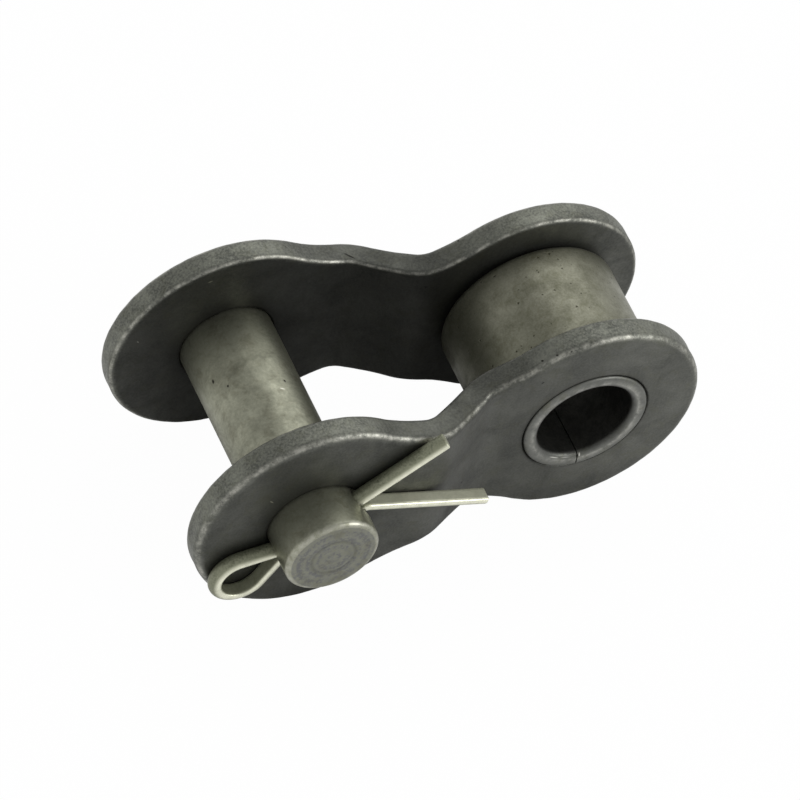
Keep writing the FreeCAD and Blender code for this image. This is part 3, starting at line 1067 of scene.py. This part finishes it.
@dataclass(frozen=True)
class ConnectingPin(Piece):
    """Turned pin with an upset rear end, a bevelled free end and a cross hole."""

    end_round: float = 0.23
    head_radius: float = 2.35
    head_round: float = 0.35
    columns: int = 288
    ring_radius: float = 0.95
    ring_width: float = 0.09
    ring_depth: float = 0.022
    turning_depth: float = 0.005
    turning_feed: float = 0.14
    rub_width: float = 0.1
    ring_shade: float = 0.8
    ring_dirt: float = 0.25
    shank_shade: float = 0.3
    shank_shade_width: float = 0.9
    ring_seed: int = 53
    face_rows: int = 70
    shank_rows: int = 150
    head_rows: int = 20
    round_steps: int = 8
    hole_columns: int = 64
    rod_overshoot: float = 1.0

    def rings(self, radius: Array) -> Array:
        """Uneven tool marks at these distances from the axis, from 0 to 1."""
        marks = ripple(radius[:, None], self.ring_seed, 3 * self.turning_feed)
        return (1 + np.clip(marks, -1, 1)) / 2

    def profile(self) -> tuple[Array, dict[str, Array]]:
        """Half section from the centre of the free end to the centre of the head.

        The free end has fine rings from the turning tool and one groove, a bell curve.

        Returns:
            Points (r, y), and the marks at each by name.
        """
        s = self.sizes
        low, high = s.pin_free_end, s.pin_head_end
        face_r = np.linspace(0, s.pin_radius - self.end_round, self.face_rows)
        fade = np.clip((face_r[-1] - face_r) / self.end_round, 0, 1)
        hollow = self.turning_depth * self.rings(face_r)
        hollow += self.ring_depth * bell(face_r, self.ring_radius, self.ring_width)
        inset, depth = quarter_round(self.end_round, self.round_steps)
        shank_y = np.linspace(low + self.end_round, s.wide_outer, self.shank_rows)[1:]
        head_inset, head_depth = quarter_round(self.head_round, self.round_steps)
        cap_r = np.linspace(self.head_radius - self.head_round, 0, self.head_rows)[1:]
        profile = np.concatenate([
            np.c_[face_r, low + fade * hollow],
            np.c_[s.pin_radius - inset, low + depth][1:],
            np.c_[np.full_like(shank_y, s.pin_radius), shank_y],
            np.array([[self.head_radius, s.wide_outer]]),
            np.c_[self.head_radius - head_inset, high - head_depth][::-1],
            np.c_[cap_r, np.full_like(cap_r, high)],
        ])
        radius, y = profile[:, :1], profile[:, 1:]
        on_face = np.arange(len(profile))[:, None] < len(face_r)
        on_ring = self.ring_dirt * bell(radius, self.ring_radius, self.ring_width)
        # painted shade on the shank where it goes into the rear plate
        on_shank = self.shank_shade * bell(y, s.wide_inner, self.shank_shade_width)
        corner = np.hypot(radius - s.pin_radius, y - low)
        return profile, {
            "wear": bell(corner, self.end_round * RUB_DEPTH, self.rub_width),
            "rim": on_face * (1.0 + self.ring_shade * self.rings(profile[:, 0]))[:, None],
            "grime": np.where(on_face, on_ring, on_shank)}

    def cross_hole(self) -> Object:
        """Round rod along the split pin's legs, to cut the cross hole.

        Returns:
            The rod as a closed object.
        """
        form = self.sizes.split_pin
        turns = np.linspace(0, 2 * math.pi, self.hole_columns + 1)[:-1]
        ring = form.hole_radius * circle(turns)
        reach = self.sizes.pin_radius + self.rod_overshoot
        ends = np.stack([np.insert(ring, 0, end, axis=1) for end in (-reach, reach)])
        rod = Surface("cross_hole_rod")
        index = rod.add_grid(form.place(ends))
        rod.caps += [index[0, ::-1], index[1]]
        return rod.build()

    def build(self) -> Object:
        """Turns the profile and cuts the cross hole through it.

        Returns:
            The bare pin.
        """
        profile, marks = self.profile()
        turns = np.linspace(0, 2 * math.pi, self.columns + 1)[:-1]
        surface = Surface("connecting_pin_steel")
        surface.add_grid(turned(profile, turns, -self.sizes.pitch), **marks)
        pin = surface.build()
        rod = self.cross_hole()
        cut = pin.modifiers.new("cross_hole", "BOOLEAN")
        cut.operation, cut.solver, cut.object = "DIFFERENCE", "EXACT", rod
        graph = bpy.context.evaluated_depsgraph_get()
        pin.data = bpy.data.meshes.new_from_object(pin.evaluated_get(graph))
        pin.modifiers.remove(cut)
        bpy.data.objects.remove(rod)
        pin.data.set_sharp_from_angle(angle=math.radians(SHARP_ANGLE))
        return pin


@dataclass(frozen=True)
class Lamp:
    """Square soft box that faces the link, with its brightness where 1 is white."""

    name: str
    toward: Point
    distance: float
    size: float
    brightness: float

    def hang(self, aim: Vector) -> None:
        """Hangs the soft box.

        Args:
            aim: The point it faces, in metres.
        """
        data = bpy.data.lights.new(self.name, "AREA")
        data.size = self.size * MM
        data.energy = self.brightness * math.pi * data.size ** 2
        toward = Vector(self.toward).normalized()
        lamp = bpy.data.objects.new(self.name, data)
        turn = (-toward).to_track_quat("-Z", "Y").to_matrix().to_4x4()
        lamp.matrix_world = Matrix.Translation(aim + toward * self.distance * MM) @ turn
        bpy.context.scene.collection.objects.link(lamp)


@dataclass(frozen=True)
class Studio:
    """White table, soft light and the camera of the photograph."""

    table_z: float = -5.14
    table_reach: float = 2000.0
    table_white: float = 0.9
    seen_glow: float = 0.98
    mirrored_glow: Pair = (0.06, 0.85)
    shade_reach: float = 10.0
    shade_range: Pair = (0.35, 0.7)
    wall_light: float = 0.95
    ceiling_light: float = 0.5
    ceiling_height: float = 0.9
    camera_place: Point = (-107.28, -158.82, 224.83)
    camera_azimuth: float = math.radians(-32.38)
    camera_elevation: float = math.radians(50.20)
    camera_roll: float = math.radians(12.53)
    focal_length: float = 322.56
    sensor_width: float = 36.0
    clip: Pair = (0.01, 10.0)
    lamps: tuple[Lamp, ...] = (
        Lamp("overhead_soft_box", (0.5, 0.5, 0.71), 450.0, 420.0, 1.05),
        Lamp("side_soft_box", (0.72, -0.55, 0.42), 400.0, 220.0, 3.4),
    )

    def camera(self) -> None:
        """Sets the camera at the photograph's place: rolled, then tipped up, then swung round."""
        data = bpy.data.cameras.new("photo_camera")
        data.lens, data.sensor_width = self.focal_length, self.sensor_width
        data.clip_start, data.clip_end = self.clip
        camera = bpy.data.objects.new("photo_camera", data)
        camera.matrix_world = (Matrix.Translation(Vector(self.camera_place) * MM)
                               @ Matrix.Rotation(self.camera_azimuth, 4, "Z")
                               @ Matrix.Rotation(QUARTER - self.camera_elevation, 4, "X")
                               @ Matrix.Rotation(self.camera_roll, 4, "Z"))
        bpy.context.scene.collection.objects.link(camera)
        bpy.context.scene.camera = camera

    def table_paint(self) -> bpy.types.Material:
        """White paint that shows as pure white with a faint shadow.

        It glows for the camera and for reflections only, so it puts no light on the link.
        Reflections show it darker where the link closes it in.

        Returns:
            The material.
        """
        made = bpy.data.materials.new("white_table")
        nodes = Nodes(made)
        paint = nodes.add("BsdfDiffuse", {"Color": (*[self.table_white] * 3, 1.0)})
        rays = nodes.add("LightPath", {}).outputs
        mirrored = nodes.combine("MAXIMUM", rays["Is Glossy Ray"], rays["Is Transmission Ray"])
        open_sky = nodes.add("AmbientOcclusion", {
            "Distance": self.shade_reach * MM}, samples=8).outputs["AO"]
        shade = nodes.level(open_sky, *self.shade_range, *self.mirrored_glow)
        glow = nodes.add("Emission", {
            "Color": linear("#ffffff"), "Strength": nodes.mix(rays["Is Camera Ray"], shade, 1.0)})
        seen = nodes.combine("MULTIPLY", rays["Is Camera Ray"], self.seen_glow)
        mixed = nodes.add("MixShader", {0: nodes.combine("MAXIMUM", seen, mirrored),
                                        1: paint.outputs[0], 2: glow.outputs[0]})
        nodes.add("OutputMaterial", {"Surface": mixed.outputs[0]})
        return made

    def table(self) -> None:
        """Lays the white table under the link, a flat square."""
        side = np.array([-self.table_reach, self.table_reach])
        x, y = np.meshgrid(side, side)
        surface = Surface("table")
        surface.add_grid(np.stack([x, y, np.full_like(x, self.table_z)], axis=-1),
                         closed_columns=False)
        top = surface.build()
        top.data.materials.append(self.table_paint())

    def room(self) -> None:
        """Surrounds the link with a white room, which the camera sees at full strength."""
        world = bpy.data.worlds.new("white_room")
        bpy.context.scene.world = world
        nodes = Nodes(world)
        rays = nodes.add("LightPath", {}).outputs
        seen = nodes.combine("MAXIMUM", rays["Is Camera Ray"], rays["Is Transmission Ray"])
        toward = nodes.add("TexCoord", {}).outputs["Generated"]
        height = nodes.add("SeparateXYZ", {"Vector": toward}).outputs["Z"]
        room = nodes.level(height, 0.0, self.ceiling_height, self.wall_light, self.ceiling_light)
        back = nodes.add("Background", {
            "Color": linear("#ffffff"), "Strength": nodes.mix(seen, room, 1.0)})
        nodes.add("OutputWorld", {"Surface": back.outputs[0]})

    def build(self, middle_x: float) -> None:
        """Sets up everything that isn't part of the link.

        Args:
            middle_x: Middle of the link, which the lamps face.
        """
        self.camera()
        self.table()
        self.room()
        for lamp in self.lamps:
            lamp.hang(Vector((middle_x * MM, 0.0, 0.0)))
        bpy.context.scene.view_settings.view_transform = "Standard"


def main() -> None:
    """Builds, dresses and reports every piece of the link."""
    logging.basicConfig(level=logging.INFO, format="%(name)s: %(message)s")
    sizes = LinkSizes.from_frame()
    pieces = [
        SidePlate(sizes, PLATE_STEEL, "front_side_plate", "plate_steel", side=Side.FRONT),
        SidePlate(sizes, PLATE_STEEL, "rear_side_plate", "plate_steel", side=Side.REAR),
        Bush(sizes, BUSH_STEEL, "bush", "bush_steel"),
        Roller(sizes, ROLLER_STEEL, "roller", "roller_steel", body="roller"),
        ConnectingPin(sizes, PIN_STEEL, "connecting_pin", "pin_steel"),
        SplitPin(sizes, WIRE_ZINC, "split_pin", "wire_steel"),
    ]
    for piece in pieces:
        made = piece.dress(piece.build())
        LOG.info("%s: %d faces, %s", made.name, len(made.data.polygons), piece.finish.name)
    Studio().build(sizes.middle_x)


if __name__ == "__main__":
    main()
